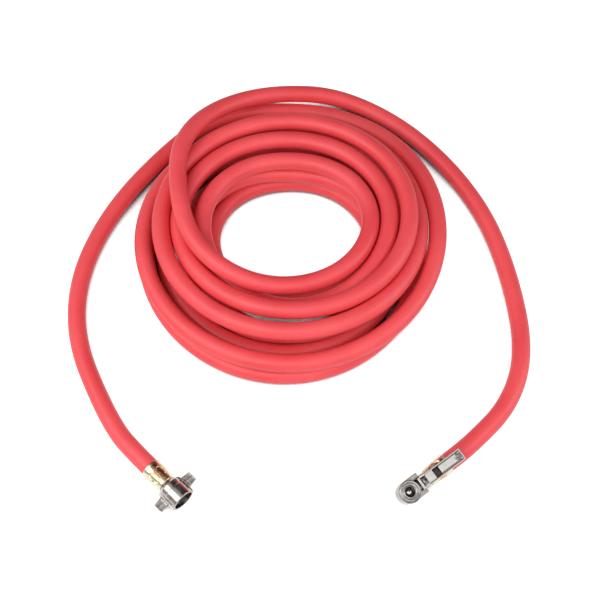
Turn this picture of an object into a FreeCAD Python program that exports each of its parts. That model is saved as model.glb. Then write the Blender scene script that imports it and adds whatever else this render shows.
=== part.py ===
import FreeCAD, Part
import math
import os

# Truck tyre inflation hose: one rubber hose in loose loops, a wing nut coupling on one free end and a
# clip-on tyre chuck on the other. Millimetres, +Z up, floor at z = 0, origin under the middle of the box.

Vec = FreeCAD.Vector
UP = Vec(0, 0, 1)

# Hose
HOSE_OD = 19.0
HOSE_BORE = 10.0
LAYER_GAP = 0.5
FLOOR_CUT = 0.5
TAIL_LIFT = 0.1

# Origin of this frame in the plan that the routes below are measured in
PLAN_ORIGIN = Vec(-2.95, 20.63, 0)

# Coil: radius of the hose's middle and its layer at each quarter turn, clockwise from above.
# A row is one loop: far side, right, near side, left. Layer 0 lies on the floor.
COIL_MIDDLE = Vec(-10.5, 79.8, 0)
COIL_LOOPS = [
    [(165.5, 0.03), (158.3, 1), (161, 1), (156.5, 1)],
    [(121.5, 1), (116, 1), (128.6, 1), (103, 1)],
    [(66.5, 1), (89.5, 1), (84.5, 0.4), (85.5, 0)],
    [(68, 0), (90, 0), (121.5, 0), (112, 0)],
    [(96, 0), (118, 0), (141, 0), (136.5, 0)],
    [(117, 0), (138, 0), (165.5, 0), (156.5, 0)],
    [(146.5, 0.34), (138.3, 1.17), (135.4, 2.1), (136.5, 2)],
    [(123, 2), (126.2, 2.25), (113, 2.25), (117, 2)],
    [(98, 2), (105.4, 2.05), (99, 1.12), (92, 2)],
    [(70, 2), (85.1, 2.05), (84, 2.15), (113, 3.05)],
]

# Free stretches from fitting to coil, in plan, each point with its height above the hose's lie on the floor
NUT_TAIL_POINTS = [
    (-182, -147, 0.6), (-206, -104, 0), (-227, -58, 0), (-236, -12, 0), (-233, 37, 0), (-217, 87, 0),
    (-192.5, 133.5, 0), (-160.5, 176.5, 0), (-129, 212, 0), (-94, 235, 0),
]
CHUCK_TAIL_POINTS = [
    (177, -151.5, 0.6), (204.5, -124, 0), (224, -86, 0), (230, -44, 0), (227, 0, 0), (219, 49, 0),
    (205, 99, 0), (181.5, 146, 0), (152, 187.5, 0), (117, 223, 0), (77, 251, 0), (33, 262.5, 8.9),
    (-11, 258, 18.4), (-53, 247, 25.9), (-89, 224, 36.9), (-114.5, 192.5, 49.9), (-127.5, 161, 57.2),
]
STRAIGHT_AT_FITTING = 21.0
STRAIGHT_AT_COIL = 28.0
ARC_SHARE = 0.45
GAP_STEP = 4.0
GAP_SKIP = 90.0

# Where the hose goes into each fitting, in plan, and which way the fitting points
NUT_MOUTH = Vec(-145.6, -184.6, 0)
NUT_HEADING = -44.0
CHUCK_MOUTH = Vec(142.5, -180.3, 0)
CHUCK_HEADING = 37.3
CHUCK_ROLL = 14.0
FITTING_LIFT = 3.1

# Crimped ferrules
FIT_GAP = 0.05
FERRULE_WALL = 0.7
FERRULE_LENGTH = 23.5
FERRULE_END_R = 8.6
FERRULE_TAPER_FROM = 13.0
FERRULE_FLANGE = 1.0
DENT_COUNT = 6
DENT_DEPTH = 0.35
DENT_LENGTH = 12.6
DENT_WIDTH = 6.6
DENT_MIDDLE = 13.0
DENT_TURN = 36.0

# Stems inside the hose
STEM_BORE_R = 3.0
BARB_START = 2.5
BARB_COUNT = 5
BARB_STEP = 3.6
BARB_DEPTH = 0.55
NECK_R = 6.2

# Wing nut, M22 x 1.5
THREAD_MINOR_R = 10.19
NUT_WALL = 2.3
NUT_REAR_R = 8.3
NUT_CHAMBER_WALL = 1.1
NUT_LENGTH = 23.5
NUT_REAR_WALL = 4.2
NUT_SHOULDER = 4.0
NUT_STEP = 10.0
NUT_THREAD_LENGTH = 10.8
NUT_CHAMBER_RELIEF = 0.5
NUT_PLAY = 0.3
RIM_BEVEL = 0.6
WEB_RISE = 0.9
WEB_THICK = 4.6
WING_R = 23.0
WING_ROOT_SINK = 1.0
WING_ROOT_CHORD = 12.5
WING_TIP_CHORD = 9.9
WING_TIP_THICK = 3.6
WING_PANEL_DEPTH = 0.5
WING_RIB = 1.2
WING_EDGE = 1.0
STEM_HEAD_GAP = 0.9
STEM_HEAD_LENGTH = 4.0
STEM_NOSE_R = 5.3
STEM_NOSE_LENGTH = 4.0
SEAL_RING_GAP = 0.4
SEAL_RING_THICK = 2.0

# Chuck, measured from the middle of its head, along the hose and up towards its face
HEAD_WALL = 3.8
HEAD_TOP = 7.0
HEAD_BOTTOM = -9.6
HEAD_BEVEL = 1.2
CAP_LIP = 0.4
CAP_THICK = 2.0
CAP_RELIEF = 0.5
VALVE_HOLE_R = 5.0
CAP_SLEEVE_WALL = 2.0
NECK_HALF_WIDTH = 11.0
NECK_TOP = 4.2
SHANK_R = 7.3
SHANK_LENGTH = 8.1
EAR_BEHIND_PIN = 3.8
WASHER_BOTTOM = 0.0
WASHER_TOP = 2.6
WASHER_HOLE_R = 3.1
CHAMBER_R = 5.2
CHAMBER_UNDER_POPPET = 0.3
AIR_WAY_R = 1.7
AIR_WAY_HEIGHT = -6.0

# Poppet in the chuck's chamber
POPPET_TRAVEL = 1.5
POPPET_PIN_R = 1.8
POPPET_TIP = 4.6
POPPET_SIDE_GAP = 1.3
POPPET_FLANGE_TOP = -0.8
POPPET_FLANGE_THICK = 1.0
POPPET_GUIDE_R = 1.1
POPPET_GUIDE_END = -6.8
POPPET_SEAL_GAP = 0.05
CARRIER_TOP = -5.6
CARRIER_THICK = 1.0
CARRIER_HOLES = 4
CARRIER_HOLE_R = 0.8
CARRIER_HOLE_CIRCLE = 3.2
POPPET_SPRING_WIRE = 0.4
POPPET_SPRING_R = 2.3
POPPET_SPRING_TURNS = 3

# Clip lever and claw on their pin
PIN_BEHIND_HEAD = 2.2
PIN_Z = -0.4
PIN_R = 1.4
PIN_CLEARANCE = 0.05
PIN_SHORT = 0.3
LEVER_REST = 10.0
LEVER_HALF_WIDTH = 6.1
LEVER_SIDE = 1.2
LEVER_PLATE = 1.2
LEVER_OVER_FERRULE = 0.4
LEVER_RIM = 2.2
LEVER_BAR_BEHIND_PIN = 1.0
LEVER_BAR_LENGTH = 2.5
LEVER_OPEN_LENGTH = 5.5
LEVER_BRIDGE_LENGTH = 8.6
LEVER_WINDOW_LENGTH = 6.6
LEVER_TRAY_LENGTH = 26.4
EYE_R = 2.6
SLOT_HALF_WIDTH = 6.3
SLOT_BEFORE_EYE = 1.1
SLOT_FLOOR_GAP = 0.3
CLAW_HALF_WIDTH = 1.9
BLADE_HALF_WIDTH = 3.6
BLADE_BOTTOM = 3.4
BLADE_THICK = 1.8
BLADE_TIP = 3.4
CLAW_TOP_GAP = 0.5
CLAW_STEM = 2.2
CLAW_WINDOW_GAP = 0.4
CLAW_EDGE = 0.3
RIVET_BEFORE_END = 5.1
RIVET_R = 1.4
RIVET_HEAD_R = 3.2
RIVET_HEAD = 1.0
LEVER_SPRING_WIRE = 0.6
LEVER_SPRING_R = 2.15
LEVER_SPRING_PITCH = 0.75
LEVER_SPRING_FULL_TURNS = 2
LEVER_SPRING_SHORT_LEG = 3.0
LEVER_SPRING_UNDER_BRIDGE = 1.6
LEVER_SPRING_SIDE_GAP = 0.25

# Worked out from the sizes above
HOSE_R = HOSE_OD / 2
BORE_R = HOSE_BORE / 2
LAYER_PITCH = HOSE_OD + LAYER_GAP
TAIL_HEIGHT = HOSE_R + TAIL_LIFT
FITTING_HEIGHT = HOSE_R + FITTING_LIFT
FERRULE_MOUTH_R = HOSE_R + FIT_GAP + FERRULE_WALL
BARB_R = BORE_R - FIT_GAP
BARB_ROOT_R = BARB_R - BARB_DEPTH
NUT_REAR = FERRULE_LENGTH + NUT_PLAY
NUT_MOUTH_X = NUT_REAR + NUT_LENGTH
NUT_R = THREAD_MINOR_R + NUT_WALL
NUT_CHAMBER_R = THREAD_MINOR_R + NUT_CHAMBER_RELIEF
NUT_BODY_R = NUT_CHAMBER_R + NUT_CHAMBER_WALL
WEB_R = NUT_R + WEB_RISE
STEM_HEAD_R = THREAD_MINOR_R - STEM_HEAD_GAP
SEAL_RING_R = THREAD_MINOR_R - SEAL_RING_GAP
CAP_SLEEVE_R = VALVE_HOLE_R + CAP_SLEEVE_WALL
HEAD_R = CAP_SLEEVE_R + HEAD_WALL
CAP_R = HEAD_R + CAP_LIP
FACE = HEAD_TOP + CAP_THICK
POPPET_FLANGE_R = CHAMBER_R - POPPET_SIDE_GAP
CHAMBER_FLOOR = POPPET_GUIDE_END - POPPET_TRAVEL - CHAMBER_UNDER_POPPET
PIN_X = HEAD_R + PIN_BEHIND_HEAD
SLOT_FRONT = PIN_X - EYE_R - SLOT_BEFORE_EYE
SLOT_FLOOR = PIN_Z - EYE_R - SLOT_FLOOR_GAP
NECK_END = PIN_X + EAR_BEHIND_PIN
HEAD_REACH = NECK_END + SHANK_LENGTH + FERRULE_LENGTH
LEVER_UNDER = FERRULE_MOUTH_R + LEVER_OVER_FERRULE
LEVER_BAR_START = PIN_X + LEVER_BAR_BEHIND_PIN
LEVER_BAR_END = LEVER_BAR_START + LEVER_BAR_LENGTH
LEVER_BRIDGE_START = LEVER_BAR_END + LEVER_OPEN_LENGTH
LEVER_BRIDGE_END = LEVER_BRIDGE_START + LEVER_BRIDGE_LENGTH
LEVER_TRAY_START = LEVER_BRIDGE_END + LEVER_WINDOW_LENGTH
LEVER_END = LEVER_TRAY_START + LEVER_TRAY_LENGTH
RIVET_X = LEVER_END - RIVET_BEFORE_END
CLAW_TOP = LEVER_UNDER - LEVER_PLATE - CLAW_TOP_GAP
BLADE_TOP = BLADE_BOTTOM + BLADE_THICK


def box(x0, x1, y0, y1, z0, z1):
    """Box between two corners."""
    return Part.makeBox(x1 - x0, y1 - y0, z1 - z0, Vec(x0, y0, z0))


def rod(radius, start, end, at=(0, 0)):
    """Cylinder along X from start to end, its middle at the given y and z."""
    return Part.makeCylinder(radius, end - start, Vec(start, at[0], at[1]), Vec(1, 0, 0))


def post(radius, bottom, top, at=(0, 0)):
    """Upright cylinder from bottom to top, its middle at the given x and y."""
    return Part.makeCylinder(radius, top - bottom, Vec(at[0], at[1], bottom), UP)


def turned_x(profile):
    """Solid of revolution about X from (x, radius) points."""
    wire = Part.makePolygon([Vec(x, 0, r) for x, r in profile + profile[:1]])
    return Part.Face(wire).revolve(Vec(0, 0, 0), Vec(1, 0, 0), 360)


def turned_z(profile):
    """Solid of revolution about Z from (radius, z) points."""
    wire = Part.makePolygon([Vec(r, 0, z) for r, z in profile + profile[:1]])
    return Part.Face(wire).revolve(Vec(0, 0, 0), UP, 360)


def side_plate(outline, y0, y1):
    """Plate of even thickness across Y with an outline of (x, z) points."""
    wire = Part.makePolygon([Vec(x, y0, z) for x, z in outline + outline[:1]])
    return Part.Face(wire).extrude(Vec(0, y1 - y0, 0))


def biarc(p0, t0, p1, t1):
    """Two tangent arcs from p0 along t0 to p1 along t1."""
    chord = p1 - p0
    spread = 1 - t0.dot(t1)
    lean = chord.dot(t0 + t1)
    reach = (math.sqrt(lean * lean + 2 * spread * chord.dot(chord)) - lean) / (2 * spread)
    corners = (p0 + t0 * reach, p1 - t1 * reach)
    join = (corners[0] + corners[1]) * 0.5
    arcs = []
    for start, corner, end in ((p0, corners[0], join), (join, corners[1], p1)):
        middle = (start + end) * 0.5
        half = (end - start).Length / 2
        turn = math.acos(min(1.0, half / reach))
        out = (corner - middle).normalize()
        arcs.append(Part.Arc(start, middle + out * (half * math.tan(turn / 2)), end).toShape())
    return arcs


def wound_path(nodes, lead_in, lead_out):
    """Wire through (point, direction) nodes on biarcs, with a straight lead at each end."""
    first, along_first = nodes[0]
    last, along_last = nodes[-1]
    edges = [Part.LineSegment(first - along_first * lead_in, first).toShape()]
    for (p0, t0), (p1, t1) in zip(nodes, nodes[1:]):
        edges += biarc(p0, t0, p1, t1)
    edges.append(Part.LineSegment(last, last + along_last * lead_out).toShape())
    return Part.Wire(edges)


def round_sweep(path, radius):
    """Solid of round section along a wire."""
    start = path.Edges[0]
    point = start.valueAt(start.FirstParameter)
    along = start.tangentAt(start.FirstParameter)
    ring = Part.Wire(Part.Circle(point, along, radius).toShape())
    return path.makePipeShell([ring], True, False)


def hollow_sweep(path, radius, bore):
    """Tube with a bore along a wire."""
    return round_sweep(path, radius).cut(round_sweep(path, bore))


def coil_nodes():
    """Point and direction of the coil's middle line at each quarter turn."""
    rows = [row for loop in COIL_LOOPS for row in loop]
    last = len(rows) - 1
    radii = [row[0] for row in rows]
    heights = [HOSE_R - FLOOR_CUT + LAYER_PITCH * row[1] for row in rows]
    nodes = []
    for k in range(last + 1):
        angle = math.pi / 2 * (1 - k)
        radial = Vec(math.cos(angle), math.sin(angle), 0)
        onward = Vec(math.sin(angle), -math.cos(angle), 0)
        outward = 0.0
        climb = 0.0
        if k == last:
            outward = radii[k] - radii[k - 1]
        elif k > 0:
            outward = (radii[k + 1] - radii[k - 1]) / 2
            before = heights[k] - heights[k - 1]
            after = heights[k + 1] - heights[k]
            climb = (before + after) / 2 if before * after > 0 else 0.0
        along = onward * (radii[k] * math.pi / 2) + radial * outward + UP * climb
        point = COIL_MIDDLE - PLAN_ORIGIN + radial * radii[k] + UP * heights[k]
        nodes.append((point, along.normalize()))
    return nodes


def route_path(points):
    """Wire of straight runs joined by tangent arcs, and the radius of each arc."""
    edges = []
    radii = []
    here = points[0]
    for before, corner, after in zip(points, points[1:], points[2:]):
        run_in = corner - before
        run_out = after - corner
        turn = run_in.getAngle(run_out)
        back = ARC_SHARE * min(run_in.Length, run_out.Length)
        radius = back / math.tan(turn / 2)
        start = corner - run_in.normalize() * back
        end = corner + run_out.normalize() * back
        middle = (start + end) * 0.5
        inward = (middle - corner).normalize()
        crest = corner + inward * (radius / math.cos(turn / 2) - radius)
        edges.append(Part.LineSegment(here, start).toShape())
        edges.append(Part.Arc(start, crest, end).toShape())
        radii.append(radius)
        here = end
    edges.append(Part.LineSegment(here, points[-1]).toShape())
    return Part.Wire(edges), radii


def fitting_frame(mouth, heading, roll, reach):
    """Placement with X along the heading, from a point set back from the hose's mouth."""
    along = Vec(math.cos(math.radians(heading)), math.sin(math.radians(heading)), 0)
    across = UP.cross(along)
    lean = math.radians(roll)
    face = UP * math.cos(lean) - across * math.sin(lean)
    origin = mouth - PLAN_ORIGIN + UP * FITTING_HEIGHT - along * reach
    turn = FreeCAD.Rotation(along, face.cross(along), face, "XZY")
    return FreeCAD.Placement(origin, turn)


NUT_FRAME = fitting_frame(NUT_MOUTH, NUT_HEADING, 0, 0)
CHUCK_FRAME = fitting_frame(CHUCK_MOUTH, CHUCK_HEADING, CHUCK_ROLL, HEAD_REACH)
TURN_ROUND = FreeCAD.Placement(Vec(HEAD_REACH, 0, 0), FreeCAD.Rotation(UP, 180))
CHUCK_CRIMP_FRAME = CHUCK_FRAME.multiply(TURN_ROUND)


def placed(shape, frame):
    """Copy of a shape moved from a fitting's own frame to where the fitting lies."""
    return shape.transformed(frame.toMatrix(), True)


# Hose

def hose_coil():
    """The loops, cut flat where the lowest layer lies on the floor."""
    path = wound_path(coil_nodes(), HOSE_OD, HOSE_OD)
    tube = hollow_sweep(path, HOSE_R, BORE_R)
    reach = 2 * max(row[0] for loop in COIL_LOOPS for row in loop)
    floor = box(-reach, reach, -reach, reach, -HOSE_OD, 0)
    return tube.cut(floor), path


def tail_points(points, fitting, coil_path, edge, outward):
    """A free stretch from its fitting to one end of the coil, square to both, as points in this frame."""
    lead = coil_path.Edges[edge]
    ends = [lead.valueAt(lead.FirstParameter), lead.valueAt(lead.LastParameter)]
    coil_end = ends[outward]
    away = (coil_end - ends[1 - outward]).normalize()
    lying = [Vec(x, y, TAIL_HEIGHT + lift) - PLAN_ORIGIN for x, y, lift in points]
    mouth = fitting.multVec(Vec(0, 0, 0))
    straight = fitting.multVec(Vec(-STRAIGHT_AT_FITTING, 0, 0))
    return [mouth, straight] + lying + [coil_end + away * STRAIGHT_AT_COIL, coil_end]


def crimped_end():
    """The last of the hose inside a ferrule, squeezed to the ferrule's taper."""
    end = FERRULE_LENGTH - FERRULE_FLANGE - FIT_GAP
    squeeze = ferrule_inner(end) - FIT_GAP
    profile = [(0, BORE_R), (0, HOSE_R), (FERRULE_TAPER_FROM, HOSE_R), (end, squeeze), (end, BORE_R)]
    return turned_x(profile)


def hose_tail(points, frame):
    """A free stretch, with its crimped end inside the ferrule."""
    path, radii = route_path(points)
    tube = hollow_sweep(path, HOSE_R, BORE_R)
    return tube.fuse(placed(crimped_end(), frame)), path, radii


# Ferrules and stems, along X from where the hose goes in

def ferrule_outer(x):
    """Outer radius of a ferrule where it tapers."""
    share = max(0.0, (x - FERRULE_TAPER_FROM) / (FERRULE_LENGTH - FERRULE_TAPER_FROM))
    return FERRULE_MOUTH_R + (FERRULE_END_R - FERRULE_MOUTH_R) * share


def ferrule_inner(x):
    """Inner radius of a ferrule."""
    return ferrule_outer(x) - FERRULE_WALL


def crimp_cutter():
    """Oval block with the ferrule's outline, one dent's depth smaller, taken out of its underside."""
    along = Vec(DENT_LENGTH / 2, 0, 0)
    across = Vec(0, DENT_WIDTH / 2, 0)
    middle = Vec(DENT_MIDDLE, 0, 0)
    oval = Part.Ellipse(middle + along, middle + across, middle).toShape()
    block = Part.Face(Part.Wire(oval)).extrude(UP * 2 * FERRULE_MOUTH_R)
    return block.cut(turned_x([
        (0, 0), (0, ferrule_outer(0) - DENT_DEPTH), (FERRULE_TAPER_FROM, ferrule_outer(0) - DENT_DEPTH),
        (FERRULE_LENGTH, FERRULE_END_R - DENT_DEPTH), (FERRULE_LENGTH, 0),
    ]))


def ferrule():
    """Thin sleeve with an in-turned flange and six oval crimps."""
    flange = FERRULE_LENGTH - FERRULE_FLANGE
    sleeve = turned_x([
        (0, ferrule_inner(0)), (0, ferrule_outer(0)), (FERRULE_TAPER_FROM, ferrule_outer(0)),
        (FERRULE_LENGTH, FERRULE_END_R), (FERRULE_LENGTH, NECK_R + FIT_GAP), (flange, NECK_R + FIT_GAP),
        (flange, ferrule_inner(flange)), (FERRULE_TAPER_FROM, ferrule_inner(0)),
    ])
    cutter = crimp_cutter()
    for i in range(DENT_COUNT):
        turn = FreeCAD.Rotation(Vec(1, 0, 0), DENT_TURN + 360 * i / DENT_COUNT)
        sleeve = sleeve.cut(placed(cutter, FreeCAD.Placement(Vec(0, 0, 0), turn)))
    return sleeve


def barb_profile(end):
    """Saw-tooth outline of a stem inside the hose, up to its neck."""
    profile = [(BARB_START, STEM_BORE_R), (BARB_START, BARB_ROOT_R)]
    for i in range(BARB_COUNT):
        start = BARB_START + BARB_STEP * i
        profile += [(start + BARB_STEP, BARB_R), (start + BARB_STEP, BARB_ROOT_R)]
    return profile + [(end, BARB_ROOT_R), (end, NECK_R)]


def nut_stem():
    """Barb, neck for the nut to turn on, head that holds the nut, and nose."""
    hose_end = FERRULE_LENGTH - FERRULE_FLANGE
    head = NUT_REAR + NUT_REAR_WALL + NUT_PLAY
    front = head + STEM_HEAD_LENGTH
    nose = front + STEM_NOSE_LENGTH
    return turned_x(barb_profile(hose_end) + [
        (head, NECK_R), (head, STEM_HEAD_R), (front, STEM_HEAD_R), (front, STEM_NOSE_R),
        (nose - RIM_BEVEL, STEM_NOSE_R), (nose, STEM_NOSE_R - RIM_BEVEL), (nose, STEM_BORE_R),
    ])


def nut_seal_ring():
    """Flat rubber ring round the stem's nose."""
    start = NUT_REAR + NUT_REAR_WALL + NUT_PLAY + STEM_HEAD_LENGTH
    end = start + SEAL_RING_THICK
    inner = STEM_NOSE_R + FIT_GAP
    return turned_x([(start, inner), (start, SEAL_RING_R), (end, SEAL_RING_R), (end, inner)])


def wing(side):
    """One tapered wing with a rib between two sunk panels on each face."""
    middle = NUT_REAR + NUT_LENGTH / 2
    root = (WEB_R - WING_ROOT_SINK, WING_ROOT_CHORD, WEB_THICK)
    tip = (WING_R, WING_TIP_CHORD, WING_TIP_THICK)
    faces = []
    for reach, chord, thick in (root, tip):
        corners = [(-1, -1), (1, -1), (1, 1), (-1, 1), (-1, -1)]
        points = [Vec(middle + a * chord / 2, side * reach, b * thick / 2) for a, b in corners]
        faces.append(Part.makePolygon(points))
    blade = Part.makeLoft(faces, True, True)
    low, high = WEB_R + WING_EDGE, WING_R - WING_EDGE
    half = WING_TIP_CHORD / 2 - WING_EDGE
    for face in (-1, 1):
        floor = WING_TIP_THICK / 2 - WING_PANEL_DEPTH
        for end in (-1, 1):
            x = sorted((middle + end * WING_RIB / 2, middle + end * half))
            y = sorted((side * low, side * high))
            z = sorted((face * floor, face * WEB_THICK))
            blade = blade.cut(box(x[0], x[1], y[0], y[1], z[0], z[1]))
    return blade


def wing_nut():
    """Die-cast nut with a threaded mouth, a web along each side and two wings."""
    rear, mouth = NUT_REAR, NUT_MOUTH_X
    barrel = turned_x([
        (rear, 0), (rear, NUT_REAR_R), (rear + NUT_SHOULDER, NUT_BODY_R), (rear + NUT_STEP, NUT_BODY_R),
        (rear + NUT_STEP, NUT_R), (mouth - RIM_BEVEL, NUT_R), (mouth, NUT_R - RIM_BEVEL), (mouth, 0),
    ])
    web_start = rear + NUT_SHOULDER / 2
    web = box(web_start, mouth - RIM_BEVEL, -WEB_R, WEB_R, -WEB_THICK / 2, WEB_THICK / 2)
    web = web.common(turned_x([
        (web_start, 0), (web_start, NUT_BODY_R), (rear + NUT_SHOULDER, WEB_R), (mouth, WEB_R), (mouth, 0),
    ]))
    body = barrel.fuse([web, wing(-1), wing(1)])
    chamber = rear + NUT_REAR_WALL
    thread = mouth - NUT_THREAD_LENGTH
    hollow = turned_x([
        (rear - NUT_PLAY, 0), (rear - NUT_PLAY, NECK_R + FIT_GAP), (chamber, NECK_R + FIT_GAP),
        (chamber, NUT_CHAMBER_R), (thread, NUT_CHAMBER_R), (thread, THREAD_MINOR_R),
        (mouth - RIM_BEVEL, THREAD_MINOR_R), (mouth, THREAD_MINOR_R + RIM_BEVEL), (mouth + NUT_PLAY, 0),
    ])
    return body.cut(hollow).removeSplitter()


# Chuck head, from the middle of the head with X along the hose and Z up to the face

def chuck_body():
    """Round head, neck block with two ears, air way and barbed shank."""
    head = turned_z([
        (0, HEAD_BOTTOM), (HEAD_R - HEAD_BEVEL, HEAD_BOTTOM), (HEAD_R, HEAD_BOTTOM + HEAD_BEVEL),
        (HEAD_R, HEAD_TOP), (0, HEAD_TOP),
    ])
    half, low = NECK_HALF_WIDTH, HEAD_BOTTOM
    outline = [
        (-half + HEAD_BEVEL, low), (half - HEAD_BEVEL, low), (half, low + HEAD_BEVEL),
        (half, NECK_TOP), (-half, NECK_TOP), (-half, low + HEAD_BEVEL),
    ]
    wire = Part.makePolygon([Vec(0, y, z) for y, z in outline + outline[:1]])
    neck = Part.Face(wire).extrude(Vec(NECK_END, 0, 0))
    shank_end = HEAD_REACH - FERRULE_LENGTH + FERRULE_FLANGE
    shank = rod(SHANK_R, NECK_END - HEAD_BEVEL, HEAD_REACH - FERRULE_LENGTH - FIT_GAP)
    collar = rod(NECK_R, NECK_END, shank_end)
    body = head.fuse([neck, shank, collar])
    body = body.cut(box(SLOT_FRONT, NECK_END, -SLOT_HALF_WIDTH, SLOT_HALF_WIDTH, SLOT_FLOOR, FACE))
    body = body.cut(claw_window())
    body = body.cut(post(CAP_SLEEVE_R + FIT_GAP, WASHER_BOTTOM, FACE))
    body = body.cut(post(CHAMBER_R, CHAMBER_FLOOR, FACE))
    body = body.cut(rod(AIR_WAY_R, 0, NECK_END + STEM_BORE_R, (0, AIR_WAY_HEIGHT)))
    body = body.cut(post(STEM_BORE_R - FIT_GAP, AIR_WAY_HEIGHT, 0, (NECK_END + STEM_BORE_R, 0)))
    barb = turned_x(barb_profile(FERRULE_LENGTH - FERRULE_FLANGE) + [
        (FERRULE_LENGTH - FERRULE_FLANGE + FIT_GAP, NECK_R),
        (FERRULE_LENGTH - FERRULE_FLANGE + FIT_GAP, STEM_BORE_R),
    ])
    body = body.fuse(placed(barb, TURN_ROUND))
    body = body.cut(rod(STEM_BORE_R, NECK_END + STEM_BORE_R / 2, HEAD_REACH))
    return body.cut(on_pin(PIN_R, -half, half)).removeSplitter()


def claw_window():
    """Way through the head's wall for the claw's blade."""
    half = BLADE_HALF_WIDTH + CLAW_WINDOW_GAP
    return box(VALVE_HOLE_R / 2, SLOT_FRONT + FIT_GAP, -half, half, BLADE_BOTTOM - CLAW_WINDOW_GAP, HEAD_TOP)


def seal_cap():
    """Turned face of the head, with a wider sleeve below the hole that clamps the washer."""
    bevel = RIM_BEVEL
    inner = VALVE_HOLE_R + CAP_RELIEF
    cap = turned_z([
        (inner, WASHER_TOP), (CAP_SLEEVE_R, WASHER_TOP), (CAP_SLEEVE_R, HEAD_TOP), (CAP_R, HEAD_TOP),
        (CAP_R, FACE - bevel), (CAP_R - bevel, FACE), (VALVE_HOLE_R, FACE), (VALVE_HOLE_R, HEAD_TOP),
        (inner, HEAD_TOP),
    ])
    return cap.cut(claw_window())


def valve_washer():
    """Rubber washer that seals on the end of the tyre valve."""
    inner, outer = WASHER_HOLE_R, CAP_SLEEVE_R - FIT_GAP
    low, high = WASHER_BOTTOM, WASHER_TOP
    return turned_z([(inner, low), (outer, low), (outer, high), (inner, high)])


def valve_poppet():
    """Domed pin, flange and guide."""
    flange = POPPET_FLANGE_TOP - POPPET_FLANGE_THICK
    stem = POPPET_TIP - POPPET_PIN_R
    body = turned_z([
        (0, POPPET_GUIDE_END), (POPPET_GUIDE_R, POPPET_GUIDE_END), (POPPET_GUIDE_R, flange),
        (POPPET_FLANGE_R, flange), (POPPET_FLANGE_R, POPPET_FLANGE_TOP), (POPPET_PIN_R, POPPET_FLANGE_TOP),
        (POPPET_PIN_R, stem), (0, stem),
    ])
    dome = Part.makeSphere(POPPET_PIN_R, Vec(0, 0, stem))
    return body.fuse(dome)


def poppet_seal():
    """Soft ring on the poppet's flange that closes under the washer."""
    inner = POPPET_PIN_R + FIT_GAP
    low, high = POPPET_FLANGE_TOP, WASHER_BOTTOM - POPPET_SEAL_GAP
    return turned_z([(inner, low), (POPPET_FLANGE_R, low), (POPPET_FLANGE_R, high), (inner, high)])


def helix_nodes(centre, radius, first, second, axis, turn_deg, rise):
    """Nodes of a helix that starts at first and turns towards second."""
    steps = math.ceil(turn_deg / 90)
    nodes = []
    for i in range(steps + 1):
        angle = math.radians(turn_deg * i / steps)
        point = centre + first * (radius * math.cos(angle)) + second * (radius * math.sin(angle))
        along = second * math.cos(angle) - first * math.sin(angle)
        climb = rise * i / steps
        slope = rise / (radius * math.radians(turn_deg))
        nodes.append((point + axis * climb, (along + axis * slope).normalize()))
    return nodes


def poppet_spring():
    """Coil spring between the carrier and the poppet's flange."""
    wire_r = POPPET_SPRING_WIRE / 2
    low = CARRIER_TOP + wire_r + FIT_GAP
    high = POPPET_FLANGE_TOP - POPPET_FLANGE_THICK - wire_r - FIT_GAP
    turn = 360 * POPPET_SPRING_TURNS
    nodes = helix_nodes(UP * low, POPPET_SPRING_R, Vec(1, 0, 0), Vec(0, 1, 0), UP, turn, high - low)
    return round_sweep(wound_path(nodes, wire_r, wire_r), wire_r)


def poppet_carrier():
    """Perforated disc that guides the poppet."""
    disc = turned_z([
        (POPPET_GUIDE_R + FIT_GAP, CARRIER_TOP - CARRIER_THICK), (CHAMBER_R, CARRIER_TOP - CARRIER_THICK),
        (CHAMBER_R, CARRIER_TOP), (POPPET_GUIDE_R + FIT_GAP, CARRIER_TOP),
    ])
    for i in range(CARRIER_HOLES):
        angle = 2 * math.pi * (i + 0.5) / CARRIER_HOLES
        at = (CARRIER_HOLE_CIRCLE * math.cos(angle), CARRIER_HOLE_CIRCLE * math.sin(angle))
        disc = disc.cut(post(CARRIER_HOLE_R, CARRIER_TOP - CARRIER_THICK, CARRIER_TOP, at))
    return disc


# Clip lever, claw and pin

def at_rest(shape):
    """Turn a lever piece, drawn pressed down on the hose, up to its rest."""
    shape.rotate(Vec(PIN_X, 0, PIN_Z), Vec(0, 1, 0), -LEVER_REST)
    return shape


def on_pin(radius, y0, y1):
    """Cylinder on the pin's axis between two places across the chuck."""
    return Part.makeCylinder(radius, y1 - y0, Vec(PIN_X, y0, PIN_Z), Vec(0, 1, 0))


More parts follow.
